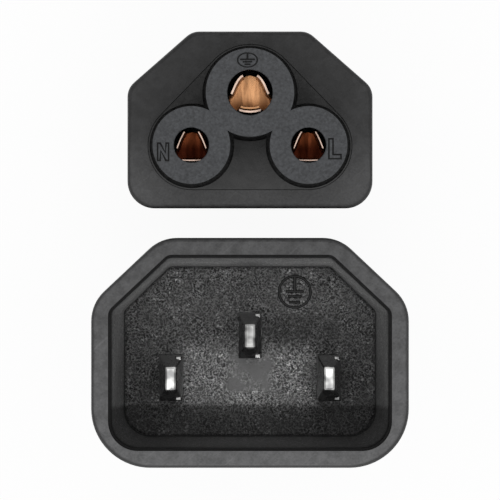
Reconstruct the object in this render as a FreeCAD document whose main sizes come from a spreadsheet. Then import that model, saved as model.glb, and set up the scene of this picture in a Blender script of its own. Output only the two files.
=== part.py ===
# The two moulded ends of a mains lead, standing face up on their cable ends:
# a shrouded three-blade plug and a cloverleaf connector with three sleeve contacts.
# Width runs along X, height along Y as a face is looked at, and length up Z,
# from the cable end on the floor to the mating face.
import FreeCAD, Part
import math
import os
from collections import namedtuple

import Sketcher
from FreeCAD import Vector

SIZES = [
    ("ends_gap", 2.6, "space between the two ends"),
    ("fit_gap", 0.05, "clearance all round a piece in its pocket"),
    ("outline_edge_radius", 0.35, "rounding of the moulded faces' outer edges"),
    ("back_edge_radius", 0.6, "rounding of the cable ends' outer edges"),
    ("shoulder_ease", 1.5, "length of the bend above and below each shoulder"),
    ("opening_width", 24.5, "plug opening, across the line and neutral pins"),
    ("opening_height", 16.8, "plug opening, along the pins' broad sides"),
    ("opening_chamfer_width", 5.1, "plug opening, keying chamfer along the top edge"),
    ("opening_chamfer_height", 4.8, "plug opening, keying chamfer down the side"),
    ("opening_chamfer_radius", 0.8, "plug opening, rounding of the chamfer's ends"),
    ("opening_corner_radius", 2.4, "plug opening, lower corners"),
    ("rim_wall", 1.7, "plug rim, from the opening to the outside"),
    ("rim_chamfer_radius", 3.6, "plug rim, rounding of the chamfer's ends"),
    ("rim_corner_radius", 5.2, "plug rim, lower corners"),
    ("lip_length", 0.8, "overmould lip above the insert"),
    ("lip_reveal", 0.22, "insert edge that shows inside the lip"),
    ("shroud_depth", 16.0, "plug face to the insert's floor"),
    ("shroud_draft_across", 1.12, "narrowing of the insert's side walls, mouth to floor"),
    ("shroud_draft_up", 0.9, "narrowing of the insert's top and bottom walls, mouth to floor"),
    ("seam_width", 0.12, "groove round the insert's floor"),
    ("seam_depth", 0.25, "groove round the insert's floor"),
    ("liner_wall", 0.8, "insert wall at its mouth"),
    ("floor_thickness", 2.5, "insert floor"),
    ("plug_cap_thickness", 2.2, "plate that locks the pins in the insert"),
    ("pin_pitch", 14.0, "line pin to neutral pin"),
    ("pin_row_drop", 2.29, "line and neutral pins below the face's centre"),
    ("earth_pin_rise", 3.77, "earth pin above the other two"),
    ("pin_thickness", 2.0, "pin blade"),
    ("pin_width", 4.0, "pin blade"),
    ("pin_reach", 12.5, "pin above the insert's floor"),
    ("pin_tip_thickness", 0.95, "flat at the pin's tip"),
    ("pin_tip_width", 2.05, "flat at the pin's tip"),
    ("pin_tip_length", 1.6, "tapered end of the pin"),
    ("pin_collar", 0.5, "collar standing out round the pin, under the floor"),
    ("pin_collar_length", 1.2, "collar along the pin"),
    ("pin_crimp_length", 5.5, "pin's crimp barrel below the locking plate"),
    ("plug_cord_radius", 3.5, "plug's cable entry"),
    ("plug_cord_length", 11.0, "plug's cable entry, floor to wiring space"),
    ("plug_head_lap", 1.2, "full outline carried past the locking plate"),
    ("plug_head_taper", 0.2, "narrowing of the head towards the cable, each side"),
    ("plug_shoulder_length", 5.0, "slope from the head to the grip"),
    ("plug_grip_inset", 3.5, "grip inside the rim's outline, each side"),
    ("plug_groove_count", 4, "grip grooves on each side"),
    ("face_width", 21.6, "connector body"),
    ("face_height", 15.6, "connector body"),
    ("face_chamfer_width", 5.7, "connector body, keying chamfer along the top edge"),
    ("face_chamfer_height", 5.0, "connector body, keying chamfer down the side"),
    ("face_chamfer_radius", 1.7, "connector body, rounding of the chamfer's ends"),
    ("face_corner_radius", 2.4, "connector body, lower corners"),
    ("contact_pitch", 10.25, "line entry to neutral entry"),
    ("contact_row_drop", 2.28, "line and neutral entries below the body's centre"),
    ("earth_contact_rise", 4.6, "earth entry above the other two"),
    ("lobe_radius", 3.4, "nose lobe round the line and neutral entries"),
    ("earth_lobe_radius", 3.87, "nose lobe round the earth entry"),
    ("nose_length", 8.0, "nose above the connector's shoulder"),
    ("nose_groove_width", 0.33, "groove round the nose in its flange"),
    ("nose_groove_depth", 0.7, "groove round the nose in its flange"),
    ("flange_margin", 0.45, "flange outside the nose's lobes"),
    ("flange_length", 2.2, "flange along the nose"),
    ("block_length", 8.8, "contact block behind the flange"),
    ("entry_plate", 1.4, "nose front in front of the contacts"),
    ("entry_radius", 1.54, "line and neutral entries"),
    ("earth_entry_radius", 1.99, "earth entry"),
    ("entry_lead", 0.06, "chamfer round each entry"),
    ("connector_cap_thickness", 2.0, "plate that locks the contacts in the block"),
    ("sheet_thickness", 0.18, "line and neutral contacts' sheet"),
    ("earth_sheet_thickness", 0.3, "earth contact's sheet"),
    ("sleeve_base", 1.37, "line and neutral sleeves' base below their entries' centres"),
    ("earth_sleeve_base", 1.75, "earth sleeve's base below its entry's centre"),
    ("sleeve_bend", 1.6, "line and neutral sleeves' lower bends from their entries' centres"),
    ("earth_sleeve_bend", 2.2, "earth sleeve's lower bends from its entry's centre"),
    ("sleeve_side", 1.085, "line and neutral sleeves' sides from their entries' centres"),
    ("earth_sleeve_side", 1.44, "earth sleeve's sides from its entry's centre"),
    ("sleeve_lean", 30, "line and neutral sleeves' sides from upright, in degrees"),
    ("earth_sleeve_lean", 35, "earth sleeve's sides from upright, in degrees"),
    ("sleeve_length", 10.0, "folded sleeve"),
    ("sleeve_slit", 1.1, "open seam along the sleeve's top bend"),
    ("sleeve_squeeze", 0.25, "narrowing of the sleeve from its mouth, each side"),
    ("stop_depth", 9.4, "line and neutral sleeves' mouths to their closing tongues"),
    ("earth_stop_depth", 7.2, "earth sleeve's mouth to its closing tongue"),
    ("crimp_radius", 1.3, "hexagonal crimp barrels, centre to flat"),
    ("crimp_wall", 0.4, "crimp barrels"),
    ("crimp_room", 0.8, "wiring space round and behind the crimp barrels"),
    ("contact_crimp_length", 6.0, "contact's crimp barrel below the locking plate"),
    ("contact_crimp_lap", 1.0, "contact's crimp barrel carried into the block"),
    ("connector_cord_radius", 3.3, "connector's cable entry"),
    ("connector_cord_length", 14.2, "connector's cable entry, floor to wiring space"),
    ("connector_head_lap", 1.0, "full outline carried past the locking plate"),
    ("connector_head_taper", 0.25, "narrowing of the head towards the cable, each side"),
    ("connector_shoulder_length", 6.0, "slope from the head to the grip"),
    ("connector_grip_inset", 2.1, "grip inside the face's outline, each side"),
    ("connector_groove_count", 5, "grip grooves on each side"),
    ("groove_start", 2.0, "first grip groove above the floor"),
    ("groove_pitch", 2.1, "grip groove to grip groove"),
    ("groove_width", 0.9, "grip groove along the length"),
    ("groove_depth", 0.6, "grip groove into the side"),
    ("groove_span", 6.0, "grip groove across the side"),
]

doc = FreeCAD.newDocument("mains_lead_ends")
sheet = doc.addObject("Spreadsheet::Sheet", "size")
for row, (alias, value, meaning) in enumerate(SIZES, start=1):
    sheet.set(f"A{row}", meaning)
    sheet.set(f"B{row}", str(value))
    sheet.setAlias(f"B{row}", alias)
doc.recompute()

# The points of a sketch element count up from 1, and a sketch's own axes count down from -1.
START, END, CENTRE = range(1, 4)
SIDE_AXIS, UP_AXIS = range(-1, -3, -1)
UP = Vector(0, 0, 1)
SAME_LEVEL = 1e-4

Outline = namedtuple("Outline", "width height chamfer_width chamfer_height corner_radius chamfer_radius")
Round = namedtuple("Round", "x y radius")
Step = namedtuple("Step", "level inset")


def number(expression):
    """Value of a sheet expression, used to draw a sketch close to its solved place."""
    return float(sheet.evalExpression(expression))


def plus(*terms):
    """Expression that adds terms."""
    return " + ".join(f"({term})" for term in terms)


# Sketches


def new_body(label, middle):
    """Body whose own frame stands on the floor at one end's middle."""
    body = doc.addObject("PartDesign::Body", label)
    body.Label = label
    body.setExpression("Placement.Base.y", middle)
    return body


def new_sketch(body, name, level):
    """Level sketch at a height above the floor."""
    sketch = body.newObject("Sketcher::SketchObject", name)
    plane = next(item for item in body.Origin.OriginFeatures if item.Role == "XY_Plane")
    sketch.AttachmentSupport = [(plane, "")]
    sketch.MapMode = "FlatFace"
    sketch.setExpression("AttachmentOffset.Base.z", level)
    return sketch


def bind(sketch, kind, *elements, to):
    """Dimension of a sketch, bound to an expression."""
    index = sketch.addConstraint(Sketcher.Constraint(kind, *elements, number(to)))
    sketch.setExpression(f"Constraints[{index}]", to)


def tie(sketch, kind, *elements):
    """Constraint of a sketch that has no dimension."""
    sketch.addConstraint(Sketcher.Constraint(kind, *elements))


def hold(sketch, element, point, x, y):
    """Ties a point of a sketch element to its coordinates."""
    for kind, axis, value in (("DistanceX", UP_AXIS, x), ("DistanceY", SIDE_AXIS, y)):
        if value == "0":
            tie(sketch, "PointOnObject", element, point, axis)
        else:
            bind(sketch, kind, SIDE_AXIS, START, element, point, to=value)


def draw_circle(sketch, circle):
    centre = Vector(number(circle.x), number(circle.y), 0)
    element = sketch.addGeometry(Part.Circle(centre, UP, number(circle.radius)))
    hold(sketch, element, CENTRE, circle.x, circle.y)
    bind(sketch, "Radius", element, to=circle.radius)


def draw_polygon(sketch, corners):
    """Convex polygon, counter-clockwise, from corners (x, y, rounding); no rounding is a sharp corner."""
    points = [Vector(number(x), number(y), 0) for x, y, radius in corners]
    count = len(points)
    arrive, leave, bends = [], [], []
    for index, (x, y, radius) in enumerate(corners):
        here = points[index]
        back = (points[index - 1] - here).normalize()
        ahead = (points[(index + 1) % count] - here).normalize()
        half_angle = back.getAngle(ahead) / 2
        rounding = number(radius) if radius else 0.0
        reach = rounding / math.tan(half_angle)
        arrive.append(here + back * reach)
        leave.append(here + ahead * reach)
        bends.append(here + (back + ahead).normalize() * (rounding / math.sin(half_angle)))
    sides = []
    for index in range(count):
        side = Part.LineSegment(leave[index], arrive[(index + 1) % count])
        sides.append(sketch.addGeometry(side))
    for index, (x, y, radius) in enumerate(corners):
        before, after = sides[index - 1], sides[index]
        corner = sketch.addGeometry(Part.Point(points[index]), True)
        hold(sketch, corner, START, x, y)
        if not radius:
            tie(sketch, "Coincident", before, END, corner, START)
            tie(sketch, "Coincident", after, START, corner, START)
            continue
        first = arrive[index] - bends[index]
        last = leave[index] - bends[index]
        circle = Part.Circle(bends[index], UP, number(radius))
        arc = Part.ArcOfCircle(circle, math.atan2(first.y, first.x), math.atan2(last.y, last.x))
        bend = sketch.addGeometry(arc)
        tie(sketch, "PointOnObject", corner, START, before)
        tie(sketch, "PointOnObject", corner, START, after)
        tie(sketch, "Tangent", before, END, bend, START)
        tie(sketch, "Tangent", bend, END, after, START)
        bind(sketch, "Radius", bend, to=radius)


def draw_box(sketch, x, y, width, height):
    """Rectangle about a middle point."""
    left, right = f"{x} - ({width}) / 2", f"{x} + ({width}) / 2"
    low, high = f"{y} - ({height}) / 2", f"{y} + ({height}) / 2"
    draw_polygon(sketch, [(left, low, None), (right, low, None), (right, high, None), (left, high, None)])


def draw_outline(sketch, outline):
    """Face outline: a rectangle with two keyed upper corners and two round lower ones."""
    right = f"({outline.width}) / 2"
    top = f"({outline.height}) / 2"
    key_x = f"{right} - ({outline.chamfer_width})"
    key_y = f"{top} - ({outline.chamfer_height})"
    low, key = outline.corner_radius, outline.chamfer_radius
    draw_polygon(sketch, [
        (f"-{right}", f"-{top}", low),
        (right, f"-{top}", low),
        (right, key_y, key),
        (key_x, top, key),
        (f"-({key_x})", top, key),
        (f"-{right}", key_y, key),
    ])


def grown(outline, by, corner_radius=None, chamfer_radius=None):
    """Outline moved out by a distance, its chamfers kept parallel, with roundings of its own if given."""
    key_x, key_y = outline.chamfer_width, outline.chamfer_height
    spare = f"(({key_x}) + ({key_y}) - sqrt(({key_x})^2 + ({key_y})^2))"
    return Outline(
        f"({outline.width}) + 2 * ({by})",
        f"({outline.height}) + 2 * ({by})",
        f"({key_x}) + ({by}) * {spare} / ({key_y})",
        f"({key_y}) + ({by}) * {spare} / ({key_x})",
        corner_radius or plus(outline.corner_radius, by),
        chamfer_radius or plus(outline.chamfer_radius, by),
    )


def draw_hull(sketch, circles):
    """Band stretched round circles, which are given counter-clockwise."""
    centres = [Vector(number(circle.x), number(circle.y), 0) for circle in circles]
    radii = [number(circle.radius) for circle in circles]
    count = len(circles)
    angles = []
    for index in range(count):
        after = (index + 1) % count
        span = centres[after] - centres[index]
        lean = math.acos((radii[index] - radii[after]) / span.Length)
        angles.append(math.atan2(span.y, span.x) - lean)
    sides, bends = [], []
    for index, circle in enumerate(circles):
        after = (index + 1) % count
        outward = Vector(math.cos(angles[index]), math.sin(angles[index]), 0)
        ends = [centres[item] + outward * radii[item] for item in (index, after)]
        sides.append(sketch.addGeometry(Part.LineSegment(*ends)))
        round_edge = Part.Circle(centres[index], UP, radii[index])
        arc = Part.ArcOfCircle(round_edge, angles[index - 1], angles[index])
        bends.append(sketch.addGeometry(arc))
    for index, circle in enumerate(circles):
        tie(sketch, "Tangent", bends[index], END, sides[index], START)
        tie(sketch, "Tangent", sides[index], END, bends[(index + 1) % count], START)
        hold(sketch, bends[index], CENTRE, circle.x, circle.y)
        bind(sketch, "Radius", bends[index], to=circle.radius)


def crossings(first, second):
    """The two points where two circles cross, the one on the left of the line between them first."""
    start = Vector(number(first.x), number(first.y), 0)
    span = Vector(number(second.x), number(second.y), 0) - start
    reach, near, far = span.Length, number(first.radius), number(second.radius)
    along = (reach ** 2 + near ** 2 - far ** 2) / (2 * reach)
    aside = math.sqrt(near ** 2 - along ** 2)
    forward = span / reach
    left = Vector(-forward.y, forward.x, 0)
    return [start + forward * along + left * side for side in (aside, -aside)]


def draw_cloverleaf(sketch, left, right, top):
    """Outline of three overlapping lobes: the lower two each cross the upper one."""
    upper_left, lower_left = crossings(left, top)
    lower_right, upper_right = crossings(right, top)
    runs = [
        (left, upper_left, lower_left),
        (top, lower_left, lower_right),
        (right, lower_right, upper_right),
        (top, upper_right, upper_left),
    ]
    arcs = []
    for lobe, first, last in runs:
        centre = Vector(number(lobe.x), number(lobe.y), 0)
        ends = [math.atan2((point - centre).y, (point - centre).x) for point in (first, last)]
        arc = Part.ArcOfCircle(Part.Circle(centre, UP, number(lobe.radius)), *ends)
        arcs.append(sketch.addGeometry(arc))
    for index, (lobe, first, last) in enumerate(runs):
        tie(sketch, "Coincident", arcs[index - 1], END, arcs[index], START)
    for lobe, arc in zip((left, top, right), arcs):
        hold(sketch, arc, CENTRE, lobe.x, lobe.y)
        bind(sketch, "Radius", arc, to=lobe.radius)
    tie(sketch, "Coincident", arcs[3], CENTRE, arcs[1], CENTRE)
    tie(sketch, "Equal", arcs[3], arcs[1])


def draw_hexagon(sketch, circle):
    """Even hexagon round a circle, with flats above and below."""
    half_side = f"({circle.radius}) / sqrt(3)"
    low = f"{circle.y} - ({circle.radius})"
    high = f"{circle.y} + ({circle.radius})"
    left, right = f"{circle.x} - {half_side}", f"{circle.x} + {half_side}"
    far_left, far_right = f"{circle.x} - 2 * {half_side}", f"{circle.x} + 2 * {half_side}"
    lower = [(left, low), (right, low), (far_right, circle.y)]
    upper = [(right, high), (left, high), (far_left, circle.y)]
    draw_polygon(sketch, [(x, y, None) for x, y in lower + upper])


# Features


def pad(body, sketch, length):
    """Adds a sketch's area, upwards."""
    feature = body.newObject("PartDesign::Pad", f"{sketch.Name}_pad")
    feature.Profile = sketch
    feature.setExpression("Length", length)
    doc.recompute()
    return feature


def pocket(body, sketch, length):
    """Cuts a sketch's area, downwards."""
    feature = body.newObject("PartDesign::Pocket", f"{sketch.Name}_cut")
    feature.Profile = sketch
    feature.setExpression("Length", length)
    doc.recompute()
    return feature


def loft(body, kind, sketches):
    """Adds or cuts a body that runs straight from sketch to sketch."""
    feature = body.newObject(f"PartDesign::{kind}Loft", f"{sketches[0].Name}_loft")
    feature.Profile = sketches[0]
    feature.Sections = sketches[1:]
    feature.Ruled = True
    doc.recompute()
    return feature


def edges_at(body, level, wanted):
    """Names of the body's edges that lie at one level and are wanted."""
    height = number(level)
    names = []
    for index, edge in enumerate(body.Shape.Edges, start=1):
        box = edge.BoundBox
        if abs(box.ZMin - height) < SAME_LEVEL and abs(box.ZMax - height) < SAME_LEVEL and wanted(edge):
            names.append(f"Edge{index}")
    return names


def chamfer(body, names, size):
    """Takes the sharpness off edges of the body."""
    base = body.Tip
    feature = body.newObject("PartDesign::Chamfer", f"{body.Name}_chamfer")
    feature.Base = (base, names)
    feature.setExpression("Size", size)
    doc.recompute()
    return feature


def between(first, last, share):
    """Step on the straight line between two steps of a side profile."""
    return Step(*(f"({start}) + (({end}) - ({start})) * ({share})" for start, end in zip(first, last)))


def round_over(end, radius, inward):
    """Steps that round the edge where a side profile ends, from the flat end to the side."""
    steps = []
    for depth in ("0", "1 - sqrt(0.5)", "1"):
        rise = f"{radius} * ({depth})"
        inset = f"{radius} * (1 - sqrt(1 - (1 - ({depth}))^2))"
        steps.append(Step(f"({end.level}) {inward} {rise}", plus(end.inset, inset)))
    return steps


def eased_corner(before, corner, after):
    """Steps that ease a corner of a side profile."""
    first = between(corner, before, f"size.shoulder_ease / (({before.level}) - ({corner.level}))")
    last = between(corner, after, f"size.shoulder_ease / (({corner.level}) - ({after.level}))")
    middle = between(corner, between(first, last, "1 / 2"), "1 / 2")
    return [first, middle, last]


def moulded_head(body, outline_at, face_end, head_low, grip_top, back_end):
    """Solid body of one end: a straight grip, with a side profile of outlines over and under it."""
    over = round_over(face_end, "size.outline_edge_radius", "-")
    over += eased_corner(face_end, head_low, grip_top)
    over += eased_corner(head_low, grip_top, back_end)
    under = round_over(back_end, "size.back_edge_radius", "+")[::-1]
    grip_low, grip_high = under[0].level, over[-1].level
    grip = new_sketch(body, f"{body.Name}_grip", grip_low)
    draw_outline(grip, outline_at(back_end.inset))
    pad(body, grip, f"({grip_high}) - ({grip_low})")
    for name, steps in (("over", over), ("under", under)):
        sketches = []
        for index, step in enumerate(steps):
            sketch = new_sketch(body, f"{body.Name}_{name}_{index}", step.level)
            draw_outline(sketch, outline_at(step.inset))
            sketches.append(sketch)
        loft(body, "Additive", sketches)


def grip_grooves(body, half_width, count):
    """Rows of finger grooves across the two narrow sides of a grip."""
    sketch = new_sketch(body, f"{body.Name}_groove", "size.groove_start + size.groove_width")
    for side in ("", "-"):
        draw_box(sketch, f"{side}({half_width})", "0", "2 * size.groove_depth", "size.groove_span")
    cut = pocket(body, sketch, "size.groove_width")
    rows = body.newObject("PartDesign::LinearPattern", f"{body.Name}_grooves")
    rows.Originals = [cut]
    rows.Direction = (next(item for item in body.Origin.OriginFeatures if item.Role == "Z_Axis"), [""])
    rows.setExpression("Length", f"size.groove_pitch * ({count} - 1)")
    rows.setExpression("Occurrences", count)
    body.Tip = rows
    doc.recompute()


# Plug

PLUG_MIDDLE = "-(size.ends_gap + size.face_height) / 2"
PIN_ROW = "-size.pin_row_drop"
PIN_PLACES = {
    "line": ("size.pin_pitch / 2", PIN_ROW),
    "neutral": ("-size.pin_pitch / 2", PIN_ROW),
    "earth": ("0", f"{PIN_ROW} + size.earth_pin_rise"),
}
PLUG_WIRING_LOW = "size.plug_cord_length"
PLUG_CAP_LOW = plus(PLUG_WIRING_LOW, "size.crimp_room + size.pin_crimp_length")
INSERT_LOW = plus(PLUG_CAP_LOW, "size.plug_cap_thickness")
INSERT_FLOOR = plus(INSERT_LOW, "size.floor_thickness")
PLUG_FACE = plus(INSERT_FLOOR, "size.shroud_depth")
INSERT_TOP = plus(PLUG_FACE, "-size.lip_length")
PLUG_HEAD_LOW = plus(PLUG_CAP_LOW, "-size.plug_head_lap")
PLUG_GRIP_TOP = plus(PLUG_HEAD_LOW, "-size.plug_shoulder_length")

opening = Outline(*(f"size.opening_{name}" for name in Outline._fields))
insert_corner = "size.rim_corner_radius - (size.rim_wall - size.liner_wall)"
insert_outside = grown(opening, "size.liner_wall", corner_radius=insert_corner)
insert_floor = Outline(
    f"{opening.width} - 2 * size.shroud_draft_across",
    f"{opening.height} - 2 * size.shroud_draft_up",
    f"{opening.chamfer_width} - size.shroud_draft_across",
    f"{opening.chamfer_height} - size.shroud_draft_up",
    opening.corner_radius,
    opening.chamfer_radius,
)


def rim_outline(inset):
    """The plug's outside at a distance inside its rim."""
    return grown(opening, f"size.rim_wall - ({inset})", "size.rim_corner_radius", "size.rim_chamfer_radius")


def wiring_space(body, places, low, high):
    """Hollow round the crimp barrels, over the cable entry."""
    sketch = new_sketch(body, f"{body.Name}_wiring", high)
    room = "size.crimp_radius + size.crimp_room"
    draw_hull(sketch, [Round(*places[name], room) for name in ("neutral", "line", "earth")])
    pocket(body, sketch, f"({high}) - ({low})")


def cable_entry(body, radius, length):
    """Round hole for the cable, up from the floor."""
    sketch = new_sketch(body, f"{body.Name}_cable_entry", length)
    draw_circle(sketch, Round("0", "0", radius))
    pocket(body, sketch, length)


def make_plug_shell():
    body = new_body("plug_shell", PLUG_MIDDLE)
    moulded_head(
        body,
        rim_outline,
        face_end=Step(PLUG_FACE, "0"),
        head_low=Step(PLUG_HEAD_LOW, "size.plug_head_taper"),
        grip_top=Step(PLUG_GRIP_TOP, "size.plug_grip_inset"),
        back_end=Step("0", "size.plug_grip_inset"),
    )
    lip = new_sketch(body, "plug_lip", PLUG_FACE)
    draw_outline(lip, grown(opening, "size.lip_reveal"))
    pocket(body, lip, "size.lip_length")
    seat = new_sketch(body, "plug_insert_seat", INSERT_TOP)
    draw_outline(seat, grown(insert_outside, "size.fit_gap"))
    pocket(body, seat, f"({INSERT_TOP}) - ({PLUG_CAP_LOW})")
    wiring_space(body, PIN_PLACES, PLUG_WIRING_LOW, PLUG_CAP_LOW)
    cable_entry(body, "size.plug_cord_radius", PLUG_WIRING_LOW)
    half_width = "size.opening_width / 2 + size.rim_wall - size.plug_grip_inset"
    grip_grooves(body, half_width, "size.plug_groove_count")
    return body


def make_plug_insert():
    """Hard cup that lines the shroud, with a slot in its floor for each pin."""
    body = new_body("plug_insert", PLUG_MIDDLE)
    block = new_sketch(body, "insert_block", INSERT_LOW)
    draw_outline(block, insert_outside)
    pad(body, block, f"({INSERT_TOP}) - ({INSERT_LOW})")
    mouth = new_sketch(body, "insert_mouth", INSERT_TOP)
    draw_outline(mouth, opening)
    floor = new_sketch(body, "insert_floor", INSERT_FLOOR)
    draw_outline(floor, insert_floor)
    loft(body, "Subtractive", [mouth, floor])
    seam = new_sketch(body, "insert_seam", INSERT_FLOOR)
    draw_outline(seam, insert_floor)
    draw_outline(seam, grown(insert_floor, "-size.seam_width"))
    pocket(body, seam, "size.seam_depth")
    slots = new_sketch(body, "insert_pin_slots", INSERT_FLOOR)
    for x, y in PIN_PLACES.values():
        draw_box(slots, x, y, "size.pin_thickness + 2 * size.fit_gap", "size.pin_width + 2 * size.fit_gap")
    pocket(body, slots, "size.floor_thickness")
    return body


def make_pin(name, x, y):
    """Blade with a tapered tip, a collar under the insert's floor and a crimp barrel."""
    body = new_body(f"plug_{name}_pin", PLUG_MIDDLE)
    tip = plus(INSERT_FLOOR, "size.pin_reach")
    tip_low = plus(tip, "-size.pin_tip_length")
    collar_low = plus(INSERT_LOW, "-size.pin_collar_length")
    collar = new_sketch(body, f"{name}_pin_collar", collar_low)
    collar_sides = [f"size.pin_{side} + 2 * size.pin_collar" for side in ("thickness", "width")]
    draw_box(collar, x, y, *collar_sides)
    pad(body, collar, "size.pin_collar_length")
    blade = new_sketch(body, f"{name}_pin_blade", INSERT_LOW)
    draw_box(blade, x, y, "size.pin_thickness", "size.pin_width")
    pad(body, blade, f"({tip_low}) - ({INSERT_LOW})")
    root = new_sketch(body, f"{name}_pin_tip_root", tip_low)
    draw_box(root, x, y, "size.pin_thickness", "size.pin_width")
    end = new_sketch(body, f"{name}_pin_tip", tip)
    draw_box(end, x, y, "size.pin_tip_thickness", "size.pin_tip_width")
    loft(body, "Additive", [end, root])
    barrel_low = plus(PLUG_CAP_LOW, "-size.pin_crimp_length")
    crimp_barrel(body, f"{name}_pin", x, y, barrel_low, collar_low)
    return body


def crimp_barrel(body, name, x, y, low, high):
    """Hexagonal tube, pressed on the stripped end of a core."""
    sketch = new_sketch(body, f"{name}_crimp", low)
    draw_hexagon(sketch, Round(x, y, "size.crimp_radius"))
    draw_hexagon(sketch, Round(x, y, "size.crimp_radius - size.crimp_wall"))
    pad(body, sketch, f"({high}) - ({low})")


def make_plug_cap():
    """Plate behind the insert that locks the pins by their collars."""
    body = new_body("plug_rear_cap", PLUG_MIDDLE)
    plate = new_sketch(body, "plug_cap_plate", PLUG_CAP_LOW)
    draw_outline(plate, insert_outside)
    pad(body, plate, "size.plug_cap_thickness")
    seats = new_sketch(body, "plug_cap_seats", INSERT_LOW)
    room = "2 * (size.pin_collar + size.fit_gap)"
    for x, y in PIN_PLACES.values():
        draw_box(seats, x, y, f"size.pin_thickness + {room}", f"size.pin_width + {room}")
    pocket(body, seats, "size.pin_collar_length")
    holes = new_sketch(body, "plug_cap_holes", INSERT_LOW)
    for x, y in PIN_PLACES.values():
        draw_hexagon(holes, Round(x, y, "size.crimp_radius + size.fit_gap"))
    pocket(body, holes, "size.plug_cap_thickness")
    return body


# Connector

CONNECTOR_MIDDLE = "(size.ends_gap + size.opening_height) / 2 + size.rim_wall"
CONTACT_ROW = "-size.contact_row_drop"
CONTACT_PLACES = {
    "line": ("size.contact_pitch / 2", CONTACT_ROW),
    "neutral": ("-size.contact_pitch / 2", CONTACT_ROW),
    "earth": ("0", f"{CONTACT_ROW} + size.earth_contact_rise"),
}
CONTACT_SIZE_NAMES = (
    "lobe_radius", "entry_radius", "stop_depth", "sheet_thickness",
    "sleeve_base", "sleeve_bend", "sleeve_side", "sleeve_lean",
)
LIVE_SIZES = {name: f"size.{name}" for name in CONTACT_SIZE_NAMES}
EARTH_SIZES = {name: f"size.earth_{name}" for name in CONTACT_SIZE_NAMES}
CONTACT_SIZES = {"line": LIVE_SIZES, "neutral": LIVE_SIZES, "earth": EARTH_SIZES}
CONNECTOR_WIRING_LOW = "size.connector_cord_length"
CONNECTOR_CAP_LOW = plus(CONNECTOR_WIRING_LOW, "size.crimp_room + size.contact_crimp_length")
BLOCK_LOW = plus(CONNECTOR_CAP_LOW, "size.connector_cap_thickness")
FLANGE_LOW = plus(BLOCK_LOW, "size.block_length")
SHOULDER = plus(FLANGE_LOW, "size.flange_length")
NOSE_FACE = plus(SHOULDER, "size.nose_length")
SLEEVE_MOUTH = plus(NOSE_FACE, "-size.entry_plate - size.fit_gap")
CONNECTOR_HEAD_LOW = plus(CONNECTOR_CAP_LOW, "-size.connector_head_lap")
CONNECTOR_GRIP_TOP = plus(CONNECTOR_HEAD_LOW, "-size.connector_shoulder_length")

face = Outline(*(f"size.face_{name}" for name in Outline._fields))


def lobes(by):
    """The nose's three lobes grown by a distance, counter-clockwise from neutral."""
    rounds = []
    for name in ("neutral", "line", "earth"):
        rounds.append(Round(*CONTACT_PLACES[name], plus(CONTACT_SIZES[name]["lobe_radius"], by)))
    return rounds


def chamber_radius(name):
    """Radius that the sleeve's lower bends just clear."""
    sizes = CONTACT_SIZES[name]
    return f"sqrt({sizes['sleeve_base']}^2 + {sizes['sleeve_bend']}^2) + size.fit_gap"


def make_connector_shell():
    body = new_body("connector_shell", CONNECTOR_MIDDLE)
    moulded_head(
        body,
        lambda inset: grown(face, f"-({inset})", face.corner_radius, face.chamfer_radius),
        face_end=Step(SHOULDER, "0"),
        head_low=Step(CONNECTOR_HEAD_LOW, "size.connector_head_taper"),
        grip_top=Step(CONNECTOR_GRIP_TOP, "size.connector_grip_inset"),
        back_end=Step("0", "size.connector_grip_inset"),
    )
    flange = new_sketch(body, "flange_seat", SHOULDER)
    draw_hull(flange, lobes("size.flange_margin + size.fit_gap"))
    pocket(body, flange, "size.flange_length")
    block = new_sketch(body, "block_seat", FLANGE_LOW)
    draw_hull(block, lobes("size.fit_gap"))
    pocket(body, block, f"({FLANGE_LOW}) - ({CONNECTOR_CAP_LOW})")
    wiring_space(body, CONTACT_PLACES, CONNECTOR_WIRING_LOW, CONNECTOR_CAP_LOW)
    cable_entry(body, "size.connector_cord_radius", CONNECTOR_WIRING_LOW)
    half_width = "size.face_width / 2 - size.connector_grip_inset"
    grip_grooves(body, half_width, "size.connector_groove_count")
    return body


def make_connector_nose():
    """Contact carrier: block, flange and cloverleaf nose with a chamber for each contact."""
    body = new_body("connector_nose", CONNECTOR_MIDDLE)
    block = new_sketch(body, "nose_block", BLOCK_LOW)
    draw_hull(block, lobes("0"))
    pad(body, block, "size.block_length")
    flange = new_sketch(body, "nose_flange", FLANGE_LOW)
    draw_hull(flange, lobes("size.flange_margin"))
    pad(body, flange, "size.flange_length")
    groove = new_sketch(body, "nose_groove", SHOULDER)
    draw_cloverleaf(groove, *lobes("size.nose_groove_width"))
    pocket(body, groove, "size.nose_groove_depth")
    nose = new_sketch(body, "nose_lobes", plus(SHOULDER, "-size.nose_groove_depth"))
    draw_cloverleaf(nose, *lobes("0"))
    pad(body, nose, "size.nose_length + size.nose_groove_depth")
    chambers = new_sketch(body, "nose_chambers", plus(NOSE_FACE, "-size.entry_plate"))
    entries = new_sketch(body, "nose_entries", NOSE_FACE)
    for name, (x, y) in CONTACT_PLACES.items():
        draw_circle(chambers, Round(x, y, chamber_radius(name)))
        draw_circle(entries, Round(x, y, CONTACT_SIZES[name]["entry_radius"]))
    pocket(body, chambers, f"({NOSE_FACE}) - size.entry_plate - ({BLOCK_LOW})")
    pocket(body, entries, "size.entry_plate")
    entry_edges = edges_at(body, NOSE_FACE, lambda edge: len(edge.Vertexes) == 1)
    chamfer(body, entry_edges, "size.entry_lead")
    return body


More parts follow.
